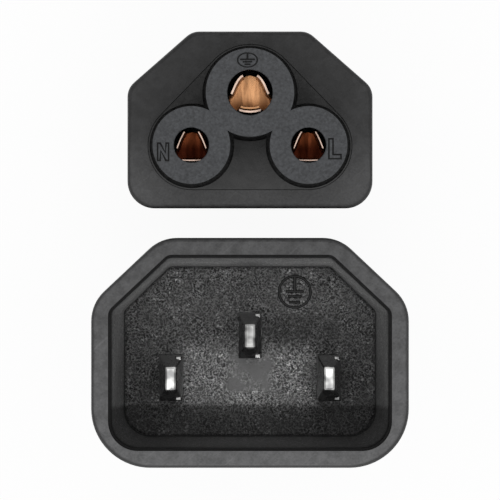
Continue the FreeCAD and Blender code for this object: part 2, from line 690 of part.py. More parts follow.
def draw_fold(sketch, name, inset):
    """Section of a sleeve at a distance inside its outside: a base, two bends, two leaning sides."""
    x, y = CONTACT_PLACES[name]
    sizes = CONTACT_SIZES[name]
    half = f"({sizes['sleeve_bend']} - ({inset}))"
    low = f"{y} - ({sizes['sleeve_base']} - ({inset}))"
    top = f"{y} + ({sizes['sleeve_side']} - ({inset})) / sin({sizes['sleeve_lean']})"
    knee = f"{top} - {half} / tan({sizes['sleeve_lean']})"
    left, right = f"{x} - {half}", f"{x} + {half}"
    corners = [(left, low), (right, low), (right, knee), (x, top), (left, knee)]
    draw_polygon(sketch, [(*corner, None) for corner in corners])


def make_contact(name):
    """Folded sleeve, open along its top bend, with a closing tongue and a crimp barrel."""
    body = new_body(f"connector_{name}_contact", CONNECTOR_MIDDLE)
    x, y = CONTACT_PLACES[name]
    sizes = CONTACT_SIZES[name]
    sheet_metal, side, base = sizes["sheet_thickness"], sizes["sleeve_side"], sizes["sleeve_base"]
    sleeve_low = plus(SLEEVE_MOUTH, "-size.sleeve_length")
    for kind, surface, inset in (("Additive", "outside", "0"), ("Subtractive", "inside", sheet_metal)):
        mouth = new_sketch(body, f"{name}_sleeve_mouth_{surface}", SLEEVE_MOUTH)
        draw_fold(mouth, name, inset)
        low = new_sketch(body, f"{name}_sleeve_low_{surface}", sleeve_low)
        draw_fold(low, name, plus(inset, "size.sleeve_squeeze"))
        loft(body, kind, [mouth, low])
    slit = new_sketch(body, f"{name}_slit", SLEEVE_MOUTH)
    draw_box(slit, x, f"{y} + 2 * {side}", "size.sleeve_slit", f"4 * {side}")
    pocket(body, slit, "size.sleeve_length")
    stop = new_sketch(body, f"{name}_stop", plus(SLEEVE_MOUTH, f"-{sizes['stop_depth']} - {sheet_metal}"))
    squeezed = f"size.sleeve_squeeze * {sizes['stop_depth']} / size.sleeve_length"
    draw_fold(stop, name, plus(squeezed, f"{sheet_metal} / 2"))
    pad(body, stop, sheet_metal)
    barrel_low = plus(CONNECTOR_CAP_LOW, "-size.contact_crimp_length")
    barrel_high = plus(BLOCK_LOW, "size.contact_crimp_lap")
    neck = new_sketch(body, f"{name}_neck", barrel_high)
    tube = "(size.crimp_radius - size.crimp_wall)"
    neck_height = f"{base} - size.sleeve_squeeze - {tube}"
    draw_box(neck, x, f"{y} - {tube} - ({neck_height}) / 2", "size.crimp_radius", neck_height)
    pad(body, neck, f"({sleeve_low}) - ({barrel_high})")
    crimp_barrel(body, f"{name}_contact", x, y, barrel_low, barrel_high)
    return body


def make_connector_cap():
    """Plate behind the block that the crimp barrels come through."""
    body = new_body("connector_rear_cap", CONNECTOR_MIDDLE)
    plate = new_sketch(body, "connector_cap_plate", CONNECTOR_CAP_LOW)
    draw_hull(plate, lobes("0"))
    pad(body, plate, "size.connector_cap_thickness")
    holes = new_sketch(body, "connector_cap_holes", BLOCK_LOW)
    for x, y in CONTACT_PLACES.values():
        draw_hexagon(holes, Round(x, y, "size.crimp_radius + size.fit_gap"))
    pocket(body, holes, "size.connector_cap_thickness")
    return body


pieces = [make_plug_shell(), make_plug_insert(), make_plug_cap()]
pieces += [make_pin(name, x, y) for name, (x, y) in PIN_PLACES.items()]
pieces += [make_connector_shell(), make_connector_nose(), make_connector_cap()]
pieces += [make_contact(name) for name in CONTACT_PLACES]

doc.recompute()
for item in doc.Objects:
    if "Invalid" in item.State or "Error" in item.State:
        raise RuntimeError(f"{item.Label} is {item.State}")
for piece in pieces:
    if piece.Shape.isNull() or not piece.Shape.isValid() or len(piece.Shape.Solids) != 1:
        raise RuntimeError(f"{piece.Label} has no sound single solid")

os.makedirs("parts", exist_ok=True)
for piece in pieces:
    piece.Shape.exportStep(f"parts/{piece.Label}.step")
    box = piece.Shape.BoundBox
    print(f"{piece.Label}: {piece.Shape.Volume:.1f} mm3, z {box.ZMin:.2f} to {box.ZMax:.2f}")
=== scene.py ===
# %% [markdown]
# # Two ends of a mains lead
# The object is the pair of moulded ends of a mains lead, looked at face on:
# a shrouded plug with three blade pins, and a cloverleaf connector with three sleeve contacts.
# Both stand on their cable ends, so the camera looks straight down on the faces.
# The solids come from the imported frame. This script gives them their finishes, softens the pins' edges,
# reshapes the contacts' sleeves, adds the moulded marks, and lights the pair.

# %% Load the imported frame
import math

import bmesh
import bpy
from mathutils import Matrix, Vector


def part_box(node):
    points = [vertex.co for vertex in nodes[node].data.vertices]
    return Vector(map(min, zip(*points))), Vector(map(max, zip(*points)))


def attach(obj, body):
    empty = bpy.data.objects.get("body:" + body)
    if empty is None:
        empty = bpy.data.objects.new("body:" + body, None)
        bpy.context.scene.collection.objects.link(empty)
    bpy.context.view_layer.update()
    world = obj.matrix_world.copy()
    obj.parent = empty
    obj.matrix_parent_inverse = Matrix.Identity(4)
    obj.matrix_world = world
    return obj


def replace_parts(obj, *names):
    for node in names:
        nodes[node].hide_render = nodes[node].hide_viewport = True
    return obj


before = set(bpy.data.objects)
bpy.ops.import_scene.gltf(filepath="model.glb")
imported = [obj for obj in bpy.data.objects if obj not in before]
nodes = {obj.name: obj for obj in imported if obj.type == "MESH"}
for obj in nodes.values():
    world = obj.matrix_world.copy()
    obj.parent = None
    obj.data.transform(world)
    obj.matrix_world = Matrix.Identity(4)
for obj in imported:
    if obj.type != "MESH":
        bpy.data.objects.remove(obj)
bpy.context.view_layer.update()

MM = 0.001
plug_low, plug_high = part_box("plug_shell")
plug_middle = (plug_low + plug_high) / 2
rim_level = plug_high.z
shoulder_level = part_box("connector_shell")[1].z
nose_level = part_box("connector_nose")[1].z
insert_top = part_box("plug_insert")[1].z
print("nodes", sorted(nodes))
print("levels in mm", [round(level / MM, 2) for level in (rim_level, shoulder_level, nose_level)])

# %% [markdown]
# ## The camera
# A face-on product picture is taken from far off with a long lens, so that a deep shroud
# shows little more of its walls than their draft. A short lens close by would splay the walls open.
# The camera hangs a metre over the plug's rim, with the picture's up along Y.

# %% Camera
CAMERA_RISE = 1.0
CAMERA_SLIDE = -0.066 * MM
LONG_LENS = 820.0

camera_data = bpy.data.cameras.new("camera")
camera_data.lens = LONG_LENS
camera = bpy.data.objects.new("camera", camera_data)
camera.location = (0.0, CAMERA_SLIDE, rim_level + CAMERA_RISE)
bpy.context.scene.collection.objects.link(camera)
bpy.context.scene.camera = camera
bpy.context.scene.view_settings.view_transform = "Standard"
print("camera", tuple(camera.location))

# %% [markdown]
# ## Shader sums in Python
# A finish is a small sum over the surface: a base colour, plus a mottle, less a stain.
# Wiring each Math node by hand hides that sum. The class below wraps a node's output,
# so that `grain * 0.3 + 0.5` adds the Math nodes itself, and one method adds every other node.

# %% Node helpers
EVEN = (1.0, 1.0, 1.0)
NOISE_MIDDLE = 0.5
MOTTLE_RANGE = (0.3, 0.7)
ROUGH_SWING = 0.2
# A Mix node has a set of sockets for each kind of data; these belong to colours.
MIX_SHARE, MIX_FIRST, MIX_SECOND, MIX_RESULT = 0, 6, 7, 2


class Field:
    """A node's output that takes part in Python sums; each operator adds a Math node."""

    def __init__(self, finish, socket):
        self.finish = finish
        self.socket = socket

    def maths(self, operation, *values):
        """Adds a Math node over one or two values."""
        return self.finish.node("ShaderNodeMath", {"operation": operation}, dict(enumerate(values)))

    def __add__(self, other):
        return self.maths("ADD", self, other)

    def __radd__(self, other):
        return self.maths("ADD", other, self)

    def __sub__(self, other):
        return self.maths("SUBTRACT", self, other)

    def __rsub__(self, other):
        return self.maths("SUBTRACT", other, self)

    def __mul__(self, other):
        return self.maths("MULTIPLY", self, other)

    def __rmul__(self, other):
        return self.maths("MULTIPLY", other, self)

    def __abs__(self):
        return self.maths("ABSOLUTE", self)


class Finish:
    """A material under construction, with its Object coordinates and a Principled shader."""

    def __init__(self, name, **constants):
        self.material = bpy.data.materials.new(name)
        self.material.use_nodes = True
        self.tree = self.material.node_tree
        self.shader = next(item for item in self.tree.nodes if item.type == "BSDF_PRINCIPLED")
        for socket, value in constants.items():
            self.shader.inputs[socket.replace("_", " ")].default_value = value
        self.place = self.node("ShaderNodeTexCoord", {}, {}, "Object")

    def node(self, kind, settings, sockets, output=0):
        """Adds a node: its settings first, then its sockets' values or links."""
        made = self.tree.nodes.new(kind)
        for name, value in settings.items():
            setattr(made, name, value)
        for name, value in sockets.items():
            if isinstance(value, Field):
                self.tree.links.new(value.socket, made.inputs[name])
            else:
                made.inputs[name].default_value = value
        return Field(self, made.outputs[output])

    def noise(self, size, detail=2.0, stretch=EVEN, turn=0.0):
        """Soft mottling with patches of one size, in metres, drawn out along turned axes."""
        mapping = {"Vector": self.place, "Rotation": (0.0, 0.0, turn), "Scale": stretch}
        place = self.node("ShaderNodeMapping", {"vector_type": "TEXTURE"}, mapping)
        sockets = {"Vector": place, "Scale": 1.0 / size, "Detail": detail}
        return self.node("ShaderNodeTexNoise", {}, sockets)

    def cells(self, size, stretch=EVEN):
        """A random grey in each of many cells of one size, in metres, drawn out along the axes."""
        mapping = {"Vector": self.place, "Scale": stretch}
        place = self.node("ShaderNodeMapping", {"vector_type": "TEXTURE"}, mapping)
        colour = self.node("ShaderNodeTexVoronoi", {}, {"Vector": place, "Scale": 1.0 / size}, "Color")
        return self.node("ShaderNodeSeparateColor", {}, {0: colour})

    def mottle(self, size, detail=2.0, stretch=EVEN):
        """Noise with its contrast drawn out to nearly the whole range from 0 to 1."""
        return self.fade(self.noise(size, detail, stretch), *MOTTLE_RANGE)

    def part(self, axis):
        """One coordinate of the surface point."""
        return self.node("ShaderNodeSeparateXYZ", {}, {0: self.place}, axis)

    def fade(self, field, start, end):
        """A field smoothed from 0 at one value to 1 at another."""
        sockets = {"Value": field, "From Min": start, "From Max": end}
        return self.node("ShaderNodeMapRange", {"interpolation_type": "SMOOTHSTEP"}, sockets)

    def patch(self, middle, half, edge):
        """1 inside an upright block over a rectangle, fading to 0 outwards over an edge."""
        across, along = (
            self.fade(abs(self.part(axis) - centre), reach + edge, reach)
            for axis, centre, reach in zip("XY", middle, half)
        )
        return across * along

    def tint(self, share, first, second):
        """Mix of two colours, or of a colour and another mix."""
        sockets = {MIX_SHARE: share, MIX_FIRST: self.colour(first), MIX_SECOND: self.colour(second)}
        return self.node("ShaderNodeMix", {"data_type": "RGBA"}, sockets, MIX_RESULT)

    def colour(self, value):
        """A mix as it is, or a plain colour with its alpha."""
        return value if isinstance(value, Field) else (*value, 1.0)

    def bump(self, field, depth):
        """A surface normal that follows a field, in metres of depth."""
        return self.node("ShaderNodeBump", {}, {"Height": field, "Distance": depth, "Strength": 1.0})

    def feed(self, **links):
        """Links fields to the shader's sockets."""
        for socket, field in links.items():
            self.tree.links.new(field.socket, self.shader.inputs[socket.replace("_", " ")])


def plain(level):
    """A grey of one level, as a colour."""
    return (level, level, level)


def coat(node_name, finish):
    """Puts a finish on every slot of a CAD node."""
    for slot in nodes[node_name].material_slots:
        slot.material = finish.material
    print("finish", finish.material.name, "on", node_name)


# %% [markdown]
# ## The two overmoulds
# The outer shells are a flexible vinyl compound: dark grey and matte, with a fine leathery grain
# from the mould. A mottle shows where the compound flowed, and long faint scuffs where
# the ends were handled. The mating faces are paler than the flanks, so the shade changes with the
# height just under the face. On the faces, painted light grows paler towards their lower edges, along Y.

# %% Overmould finishes
FLOW_SIZE = 0.9 * MM
GRAIN_SIZE = 0.15 * MM
GRAIN_DEPTH = 0.006 * MM
GRAIN_SHARE = 0.3
SCUFF_SIZE = 0.4 * MM
SCUFF_STRETCH = (16.0, 1.0, 1.0)
SCUFF_TURN = 0.7
SCUFF_RANGE = (0.62, 0.75)
SCUFF_SHARE = 0.3
FACE_START = 0.1 * MM
FACE_FULL = 0.02 * MM
FLANK_MOTTLE = 0.2
VINYL_WHITE = (1.0, 1.0, 1.02)
VINYL_ROUGHNESS = 0.54
VINYL_SWING = 0.1


def overmould(name, node_name, upper_grey, lower_grey, painted_light_share, flank_grey, mottling):
    """Mottled vinyl: a face with painted light that goes from one grey to another over its lower share,
    and darker flanks.
    """
    finish = Finish(name, Specular_IOR_Level=0.4)
    low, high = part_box(node_name)
    mottle = finish.mottle(FLOW_SIZE, detail=4.0) - NOISE_MIDDLE
    grain = finish.cells(GRAIN_SIZE) - NOISE_MIDDLE
    long_noise = finish.noise(SCUFF_SIZE, stretch=SCUFF_STRETCH, turn=SCUFF_TURN)
    scuffs = finish.fade(long_noise, *SCUFF_RANGE)
    # Painted light: the face goes from the upper grey to the paler lower grey towards its lower edge,
    # along Y.
    painted_light_top = low.y + (high.y - low.y) * painted_light_share
    painted_light = finish.fade(finish.part("Y"), painted_light_top, low.y)
    face_grey = painted_light * (lower_grey - upper_grey) + upper_grey
    face = finish.fade(finish.part("Z"), high.z - FACE_START, high.z - FACE_FULL)
    grey = face * (face_grey - flank_grey) + flank_grey
    texture = grain * GRAIN_SHARE + scuffs * SCUFF_SHARE + 1.0
    flow = mottle * mottling * (face * (1.0 - FLANK_MOTTLE) + FLANK_MOTTLE)
    finish.feed(
        Base_Color=finish.tint(texture * grey + flow, plain(0.0), VINYL_WHITE),
        Roughness=mottle * VINYL_SWING + VINYL_ROUGHNESS,
        Normal=finish.bump(grain, GRAIN_DEPTH),
    )
    coat(node_name, finish)


overmould(
    "plug_vinyl", "plug_shell",
    upper_grey=0.054, lower_grey=0.084, painted_light_share=1.0, flank_grey=0.018, mottling=0.035,
)
overmould(
    "connector_vinyl", "connector_shell",
    upper_grey=0.016, lower_grey=0.060, painted_light_share=0.6, flank_grey=0.014, mottling=0.02,
)

# %% [markdown]
# ## The plug's insert
# The cup inside the shroud is a hard black plastic. Its mould was spark eroded, which leaves
# a crust of tiny pits and crests. The crests lie where a noise crosses its middle, as contour lines do,
# and a second noise breaks those lines into dashes. A few random cells are peaks, painted pale as glints.
# The crust is drawn out a little along the walls, as the mould dragged it. On the floor it is crisper
# in some patches; on the walls it is fainter and more even.
# The walls are painted paler, as light, most of all low down.
# Between the outer pins the floor carries a painted highlight, and it is worn smooth in the middle.
# Its upper part has a little painted light, and a patch over the line pin is dull. A band along the
# bottom carries a painted shadow, and the mouth's edge and the foot of the walls are painted dark, as
# shade.

# %% Places on the insert
FLOOR_LEVEL = 22.0 * MM
PAINTED_HIGHLIGHT = {"middle": (-0.4 * MM, -11.3 * MM), "half": (4.6 * MM, 1.5 * MM), "edge": 2.6 * MM}
WORN = {"middle": (0.0, -11.0 * MM), "half": (1.5 * MM, 1.2 * MM), "edge": 1.0 * MM}
DULL = {"middle": (5.0 * MM, -7.5 * MM), "half": (2.2 * MM, 1.0 * MM), "edge": 1.2 * MM}
UPPER_FLOOR_LIGHT = (-7.5 * MM, -4.5 * MM)
SHADOW_BAND = (-13.6 * MM, -14.2 * MM)
WALL_START = (FLOOR_LEVEL + 0.1 * MM, FLOOR_LEVEL + 1.0 * MM)
WALL_FOOT = (FLOOR_LEVEL + 1.8 * MM, FLOOR_LEVEL + 1.2 * MM)
WALL_RISE = (FLOOR_LEVEL + 2.0 * MM, insert_top)
MOUTH = (insert_top - 2.4 * MM, insert_top - 0.2 * MM)

spark_black = Finish("spark_black", Specular_IOR_Level=0.2)
# Painted highlight between the outer pins. The worn patch is real wear, and the dull patch is tone.
painted_light = spark_black.patch(**PAINTED_HIGHLIGHT)
worn = spark_black.patch(**WORN)
dull = spark_black.patch(**DULL)
# Painted light on the upper floor, and a painted shadow over the bottom band.
upper_floor_light, shadow_band = (
    spark_black.fade(spark_black.part("Y"), *span) for span in (UPPER_FLOOR_LIGHT, SHADOW_BAND)
)
walls, foot, rising, mouth = (
    spark_black.fade(spark_black.part("Z"), *span) for span in (WALL_START, WALL_FOOT, WALL_RISE, MOUTH)
)
print("insert from", FLOOR_LEVEL / MM, "mm at its floor to", round(insert_top / MM, 2), "mm at its mouth")

# %% Crust
DRAG = (1.0, 1.0, 1.6)
CRISP_PATCH = 1.6 * MM
CREST_SIZE = 0.3 * MM
CREST_WIDTH = 0.08
CREST_SHARE = 0.36
PEAK_SIZE = 0.13 * MM
PEAK_RANGE = (0.86, 1.0)
PEAK_PATCH = 1.2 * MM
PEAK_SHARE = 0.40
PIT_SIZE = 0.2 * MM
PIT_SHARE = 0.07
LEAST_CRISP = 0.6
CRISP_SPREAD = 0.6
WORN_CALM = 0.7
WALL_CALM = 0.34
WALL_EVENNESS = 0.42
CRUST_GREY = 0.09

patchy = spark_black.mottle(CRISP_PATCH) * (CRISP_SPREAD - walls * WALL_EVENNESS)
crisp = patchy + LEAST_CRISP - worn * WORN_CALM - walls * WALL_CALM
contours = abs(spark_black.noise(CREST_SIZE, stretch=DRAG) - NOISE_MIDDLE)
dashes = spark_black.mottle(CREST_SIZE, stretch=DRAG)
crests = spark_black.fade(contours, CREST_WIDTH, 0.0) * dashes
# Bright cells painted into the colour as glints.
glints = spark_black.fade(spark_black.cells(PEAK_SIZE, DRAG), *PEAK_RANGE)
peaks = glints * spark_black.mottle(PEAK_PATCH)
pits = spark_black.mottle(PIT_SIZE, detail=3.0, stretch=DRAG)
crust = (crests * CREST_SHARE + peaks * PEAK_SHARE - pits * PIT_SHARE) * crisp + CRUST_GREY
print("crust of", len(spark_black.tree.nodes), "nodes")

# %% Insert finish
CRUST_DEPTH = 0.08 * MM
CRUST_ROUGHNESS = 0.65
# Gains: painted highlight, real wear, and painted light on the walls and the upper floor. Losses: painted
# shadow on the bottom band, painted shade at the mouth's edge and the walls' foot, the dull patch, and
# the walls darker as they rise.
gains = ((painted_light, 1.35), (worn, 0.4), (walls, 2.15), (upper_floor_light, 0.3))
losses = ((shadow_band, 0.6), (mouth, 0.97), (walls * foot, 0.8), (dull, 0.32), (rising, 0.55))

grey = crust * sum((place * gain for place, gain in gains), 1.0)
for place, loss in losses:
    grey = grey * (1.0 - place * loss)
spark_black.feed(
    Base_Color=spark_black.tint(grey, plain(0.0), plain(1.0)),
    Roughness=CRUST_ROUGHNESS - crust,
    Normal=spark_black.bump(crust, CRUST_DEPTH),
)
coat("plug_insert", spark_black)

# %% [markdown]
# ## The connector's nose
# The cloverleaf is a hard plastic too, a little bluish beside the vinyl, with an even satin grain.
# Its sides are painted darker than its face, as shade. Its flange lies level with the vinyl shoulder
# and is the same dark shade, with painted light that grows paler towards its lower edge along Y,
# so the finish changes again at the nose's foot. The groove round the foot is painted black, as shade.

# %% Nose finish
NOSE_CELL = 0.14 * MM
NOSE_MOTTLE = 0.3 * MM
NOSE_DRIFT = 1.2 * MM
NOSE_DEPTH = 0.01 * MM
NOSE_ROUGHNESS = 0.5
DRIFT_SHARE = 0.15
PAINTED_LIGHT_SHARE = 0.8
FACE_SHADES = ((0.011, 0.012, 0.014), (0.066, 0.069, 0.074))
SIDE_SHADES = ((0.004, 0.004, 0.005), (0.024, 0.025, 0.027))
FLANGE_SHADES = (plain(0.012), plain(0.066))
GROOVE_SHADE = plain(0.002)
FLANGE_LIGHT_SPAN = (11.0 * MM, 4.0 * MM)
SIDE_SPAN = (nose_level - 0.1 * MM, nose_level - 0.5 * MM)
FOOT_SPAN = (shoulder_level + 0.4 * MM, shoulder_level + 0.1 * MM)
GROOVE_SPAN = (shoulder_level - 0.03 * MM, shoulder_level - 0.12 * MM)

nose_satin = Finish("nose_satin", Specular_IOR_Level=0.4)
satin = (nose_satin.cells(NOSE_CELL) + nose_satin.mottle(NOSE_MOTTLE, detail=3.0)) * 0.5
drift = nose_satin.mottle(NOSE_DRIFT, detail=3.0)
speckle = satin * (1.0 - DRIFT_SHARE) + drift * DRIFT_SHARE
flange_painted_light = nose_satin.fade(nose_satin.part("Y"), *FLANGE_LIGHT_SPAN)
flange_mix = drift * (1.0 - PAINTED_LIGHT_SHARE) + flange_painted_light * PAINTED_LIGHT_SHARE
colour = nose_satin.tint(speckle, *FACE_SHADES)
# Painted shade on the sides and in the groove, and painted light along Y on the flange.
for span, shade in (
    (SIDE_SPAN, nose_satin.tint(speckle, *SIDE_SHADES)),
    (FOOT_SPAN, nose_satin.tint(flange_mix, *FLANGE_SHADES)),
    (GROOVE_SPAN, GROOVE_SHADE),
):
    colour = nose_satin.tint(nose_satin.fade(nose_satin.part("Z"), *span), colour, shade)
nose_satin.feed(
    Base_Color=colour,
    Roughness=satin * ROUGH_SWING + NOSE_ROUGHNESS,
    Normal=nose_satin.bump(satin, NOSE_DEPTH),
)
coat("connector_nose", nose_satin)

# %% Locking plates' finish
PLATE_CLOUD = 1.5 * MM
PLATE_ROUGHNESS = 0.4

plate_nylon = Finish("plate_nylon")
plate_cloud = plate_nylon.noise(PLATE_CLOUD)
plate_nylon.feed(
    Base_Color=plate_nylon.tint(plate_cloud, plain(0.030), plain(0.050)),
    Roughness=plate_cloud * ROUGH_SWING + PLATE_ROUGHNESS,
)
coat("plug_rear_cap", plate_nylon)
coat("connector_rear_cap", plate_nylon)

# %% [markdown]
# ## Pins and contacts
# The pins are brass with nickel plating, stamped and tumbled, so that their corners are soft.
# The plating is bright at the tips, and painted dark below them, as shade and dark reflection on the
# tapers.
# The contacts are folded from thin copper sheet, pale along the cut edges, with painted shade
# deep inside, the live ones darkest.
# The pins are cut sharp in the frame, so each gets a merged copy with its edges bevelled,
# which stands for its node and catches the light.

# %% Pin plating
TUMBLED_SIZE = 0.9 * MM
TUMBLED_DEPTH = 0.02 * MM
PALE_WARMTH = 0.98
SHADED_NICKEL = plain(0.32)
NICKEL_ROUGHNESS = 0.15
SHADE_START = 0.2 * MM
SHADE_FULL = 0.05 * MM
pin_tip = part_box("plug_earth_pin")[1].z


def plating(name, dark, pale, shading):
    """Tumbled nickel between two greys, with painted shade below the pins' tips by a share."""
    finish = Finish(name, Metallic=1.0)
    tumbled = finish.mottle(TUMBLED_SIZE, detail=1.0)
    bright = finish.tint(tumbled, plain(dark), (pale, pale, pale * PALE_WARMTH))
    # Painted shade and dark reflection below the tips.
    below = finish.fade(finish.part("Z"), pin_tip - SHADE_FULL, pin_tip - SHADE_START) * shading
    finish.feed(
        Base_Color=finish.tint(below, bright, SHADED_NICKEL),
        Roughness=tumbled * ROUGH_SWING + NICKEL_ROUGHNESS,
        Normal=finish.bump(tumbled, TUMBLED_DEPTH),
    )
    print("plating", name)
    return finish


blade_nickel = plating("blade_nickel", dark=0.24, pale=0.74, shading=1.0)
earth_nickel = plating("earth_nickel", dark=0.08, pale=0.44, shading=1.0)
flat_nickel = plating("flat_nickel", dark=0.08, pale=0.38, shading=0.0)

# %% Contact copper
LIVE_ROW = 9.12 * MM
EARTH_ROW = 13.72 * MM
CUT_BAND = 0.1 * MM
SHADE_DEPTH = 7.0 * MM
TURN_REACH = 0.6 * MM
ROLLED_SIZE = 0.5 * MM
ROLLED_STRETCH = (1.0, 6.0, 8.0)
ROLLED_DEPTH = 0.002 * MM
ROLLED_SHADES = ((0.36, 0.19, 0.09), (0.56, 0.32, 0.17))
COPPER_ROUGHNESS = 0.25
sleeve_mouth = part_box("connector_earth_contact")[1].z


def copper(name, cut_edge, upper, lower, turn):
    """Rolled copper with pale cut edges; deep inside, painted shade in two colours that meet at a place
    in Y.
    """
    finish = Finish(name, Metallic=1.0)
    rolled = finish.mottle(ROLLED_SIZE, detail=3.0, stretch=ROLLED_STRETCH)
    bright = finish.tint(rolled, *ROLLED_SHADES)
    # Painted shade: darker deep in the sleeve, in two colours on either side of a place in Y.
    deep = finish.tint(finish.fade(finish.part("Y"), turn - TURN_REACH, turn + TURN_REACH), lower, upper)
    depth = finish.fade(finish.part("Z"), sleeve_mouth, sleeve_mouth - SHADE_DEPTH)
    cut = finish.fade(finish.part("Z"), sleeve_mouth - CUT_BAND, sleeve_mouth - CUT_BAND / 2)
    finish.feed(
        Base_Color=finish.tint(cut, finish.tint(depth, bright, deep), cut_edge),
        Roughness=rolled * ROUGH_SWING + COPPER_ROUGHNESS,
        Normal=finish.bump(rolled, ROLLED_DEPTH),
    )
    print("copper", name)
    return finish


live_copper = copper(
    "live_copper", cut_edge=(0.46, 0.34, 0.28),
    upper=(0.150, 0.042, 0.016), lower=(0.042, 0.009, 0.004), turn=LIVE_ROW + 0.25 * MM,
)
earth_copper = copper(
    "earth_copper", cut_edge=(0.50, 0.37, 0.30),
    upper=(0.52, 0.27, 0.13), lower=(0.20, 0.085, 0.034), turn=EARTH_ROW - 0.7 * MM,
)

# %% Softened pins
SHARP = math.radians(40.0)
NEARLY_FLAT = math.radians(1.0)
MERGE_REACH = 0.001 * MM
BEVEL_STEPS = 2
PIN_EDGE = 0.18 * MM


def settle(name, shape, finishes):
    """Turns a finished bmesh into a piece that rides on the frame."""
    bmesh.ops.recalc_face_normals(shape, faces=shape.faces)
    mesh = bpy.data.meshes.new(name)
    shape.to_mesh(mesh)
    open_edges = sum(not edge.is_manifold for edge in shape.edges)
    shape.free()
    for finish in finishes:
        mesh.materials.append(finish.material)
    piece = bpy.data.objects.new(name, mesh)
    bpy.context.scene.collection.objects.link(piece)
    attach(piece, "root")
    print("piece", name, len(mesh.polygons), "faces", open_edges, "open edges")
    return piece


def merged_copy(node_name):
    """A CAD node's mesh in one piece, with flat faces instead of triangles."""
    shape = bmesh.new()
    shape.from_mesh(nodes[node_name].data)
    bmesh.ops.remove_doubles(shape, verts=shape.verts, dist=MERGE_REACH)
    bmesh.ops.dissolve_limit(shape, angle_limit=NEARLY_FLAT, verts=shape.verts, edges=shape.edges)
    return shape


def soften(shape, width, above):
    """Rounds a shape's sharp edges over a level."""
    upper = [edge for edge in shape.edges if min(vert.co.z for vert in edge.verts) > above]
    sharp = [edge for edge in upper if edge.calc_face_angle(0.0) > SHARP]
    bmesh.ops.bevel(
        shape, geom=sharp, offset=width, offset_type="OFFSET", affect="EDGES", segments=BEVEL_STEPS,
        profile=0.5, material=-1, clamp_overlap=True,
    )


for way, plate in (("line", blade_nickel), ("neutral", blade_nickel), ("earth", earth_nickel)):
    pin = merged_copy(f"plug_{way}_pin")
    soften(pin, PIN_EDGE, FLOOR_LEVEL)
    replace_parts(settle(f"plug_{way}_pin_soft", pin, [plate]), f"plug_{way}_pin")

# %% [markdown]
# ## The contacts
# Each sleeve is arched from one strip: two leaves that lean together, a cradle cut away lower down,
# and a short lip. The frame's contacts are folded more plainly, so each is cut off under its sleeve,
# which keeps its neck and crimp barrel, and gets a new sleeve and the tongue that closes it.
# The sleeve starts as half an arch, a line that is mirrored, then pushed down, drawn together
# towards its foot, and given its thickness. The tongue is the arch's outline, filled and thickened.
# The earth sleeve is larger and has a rolled edge behind its lip.

# %% Sleeve outlines
# Half of each outline, in mm: across and up from the entry's centre, and the drop under the mouth.
EARTH_LIP = [(0.0, -1.78, 0.0), (0.50, -1.74, 0.0), (0.93, -1.64, 0.0)]
EARTH_CRADLE = [
    (1.30, -1.92, 1.5), (1.80, -1.68, 3.0), (2.12, -1.20, 3.0), (2.14, -0.80, 3.0), (2.02, -0.42, 2.5),
]
EARTH_LEAF = [
    (1.72, -0.08, 0.0), (1.56, 0.26, 0.0), (1.37, 0.72, 0.0),
    (1.13, 1.14, 0.0), (0.90, 1.42, 0.0), (0.68, 1.58, 0.0),
]
EARTH_ROLL = [(0.0, -1.44, 2.0), (0.50, -1.40, 2.0), (0.86, -1.31, 2.0)]
EARTH_TOP = (0.0, 1.80, 0.0)
LIVE_LIP = [(0.0, -1.40, 0.0), (0.50, -1.39, 0.0), (0.82, -1.37, 0.0)]
LIVE_CRADLE = [(1.15, -1.50, 1.5), (1.52, -1.25, 3.0), (1.62, -0.85, 3.0), (1.52, -0.55, 2.5)]
LIVE_LEAF = [
    (1.34, -0.26, 0.0), (1.22, 0.06, 0.0), (1.02, 0.55, 0.0), (0.82, 0.95, 0.0), (0.66, 1.22, 0.0),
]
LIVE_TOP = (0.0, 1.42, 0.0)

EARTH_ARCH = EARTH_LIP + EARTH_CRADLE + EARTH_LEAF
LIVE_ARCH = LIVE_LIP + LIVE_CRADLE + LIVE_LEAF
EARTH_FORM = {
    "arch": EARTH_ARCH, "rolls": [EARTH_ROLL], "top": EARTH_TOP, "sheet": 0.20 * MM, "depth": 7.2 * MM,
}
LIVE_FORM = {"arch": LIVE_ARCH, "rolls": [], "top": LIVE_TOP, "sheet": 0.13 * MM, "depth": 9.4 * MM}
print("sleeve corners, half of each:", len(EARTH_ARCH), "earth", len(LIVE_ARCH), "live")

# %% Contacts
SLEEVE_FOOT = 30.3 * MM
NECK_CUT = 30.5 * MM
SLEEVE_DRAW = 0.85
SHEET_EDGE = 0.02 * MM
TONGUE_SHEET = 0.3 * MM


def mirrored_line(shape, corners):
    """Adds a line of corners, and its mirror image in X, under the sleeves' mouth."""
    points = [shape.verts.new((x * MM, y * MM, sleeve_mouth - drop * MM)) for x, y, drop in corners]
    line = [shape.edges.new(pair) for pair in zip(points, points[1:])]
    bmesh.ops.mirror(shape, geom=points + line, axis="X", merge_dist=MERGE_REACH)


def flatten(shape, points, draw, level):
    """Brings points together round the axis by a share and down to one level."""
    bmesh.ops.scale(shape, verts=points, vec=(draw, draw, 0.0))
    bmesh.ops.translate(shape, verts=points, vec=(0.0, 0.0, level))


def of_kind(items, kind):
    """The items of one kind among those that an operator returns."""
    return [item for item in items if isinstance(item, kind)]


def sleeve_strip(lines, sheet):
    """A sleeve round the axis: its half lines mirrored, pushed down to the foot and thickened."""
    shape = bmesh.new()
    for corners in lines:
        mirrored_line(shape, corners)
    pushed = bmesh.ops.extrude_edge_only(shape, edges=shape.edges[:])["geom"]
    flatten(shape, of_kind(pushed, bmesh.types.BMVert), SLEEVE_DRAW, SLEEVE_FOOT)
    bmesh.ops.recalc_face_normals(shape, faces=shape.faces)
    bmesh.ops.solidify(shape, geom=shape.faces[:], thickness=sheet)
    soften(shape, SHEET_EDGE, 0.0)
    return shape


